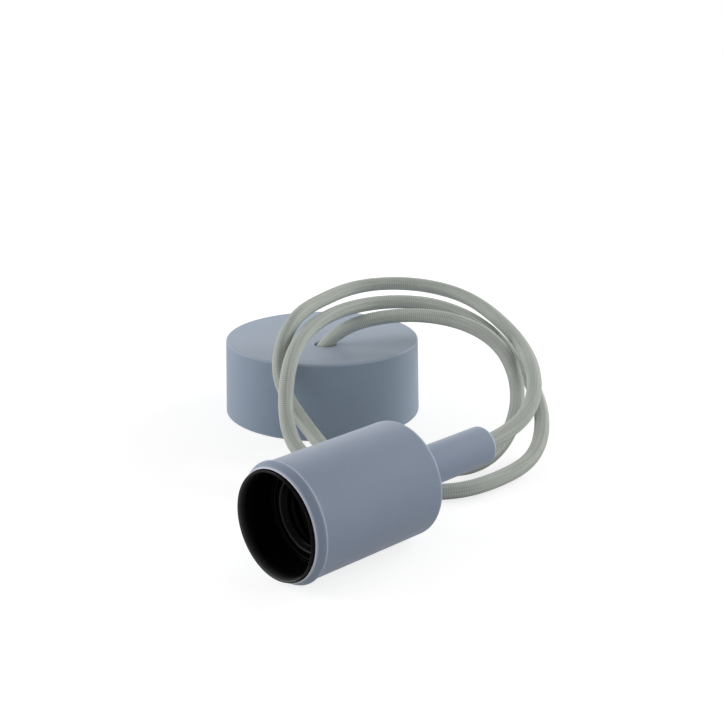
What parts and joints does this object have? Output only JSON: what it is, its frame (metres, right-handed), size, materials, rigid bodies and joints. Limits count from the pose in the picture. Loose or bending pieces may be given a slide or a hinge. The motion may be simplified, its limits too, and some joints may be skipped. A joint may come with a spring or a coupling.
{
  "type": "pendant light",
  "caption": "Pendant light with a round silicone ceiling canopy, a loose looped textile cord and a screw lamp holder in a silicone sleeve, lying on its side",
  "frame": {"origin": "middle of the ceiling side of the canopy, in the plane that the canopy stands on", "axes": "+Z points away from the ceiling side, through the canopy's top; +X runs along the level axis of the lamp holder, from its mouth to its neck"},
  "size_m": [0.2087, 0.2085, 0.0656],
  "materials": {
    "silicone": "matt powdery blue-grey silicone",
    "textile": "grey braided textile",
    "black_plastic": "glossy black moulded plastic",
    "white_plastic": "plain white nylon",
    "steel": "zinc-plated steel",
    "brass": "bare brass",
    "brown_insulation": "brown wire insulation",
    "blue_insulation": "blue wire insulation"
  },
  "bodies": {
    "root": {"canopy_cover": "silicone", "holder_sleeve": "silicone", "cord": "textile", "ceiling_plate": "steel", "ceiling_grip": "white_plastic", "ceiling_grip_screw": "steel", "terminal_block": "white_plastic", "terminal_1": "brass", "terminal_2": "brass", "terminal_screw_1": "steel", "terminal_screw_2": "steel", "terminal_screw_3": "steel", "terminal_screw_4": "steel", "block_screw": "steel", "wire_brown_ceiling": "brown_insulation", "wire_blue_ceiling": "blue_insulation", "holder_shell": "black_plastic", "thread_insert": "black_plastic", "contact_carrier": "black_plastic", "contact_centre": "brass", "contact_side": "brass", "contact_rivet_1": "brass", "contact_rivet_2": "brass", "wire_clamp_1": "brass", "wire_clamp_2": "brass", "clamp_screw_1": "steel", "clamp_screw_2": "steel", "holder_cap": "black_plastic", "holder_grip_screw": "white_plastic", "wire_brown_holder": "brown_insulation", "wire_blue_holder": "blue_insulation"}
  },
  "joints": []
}
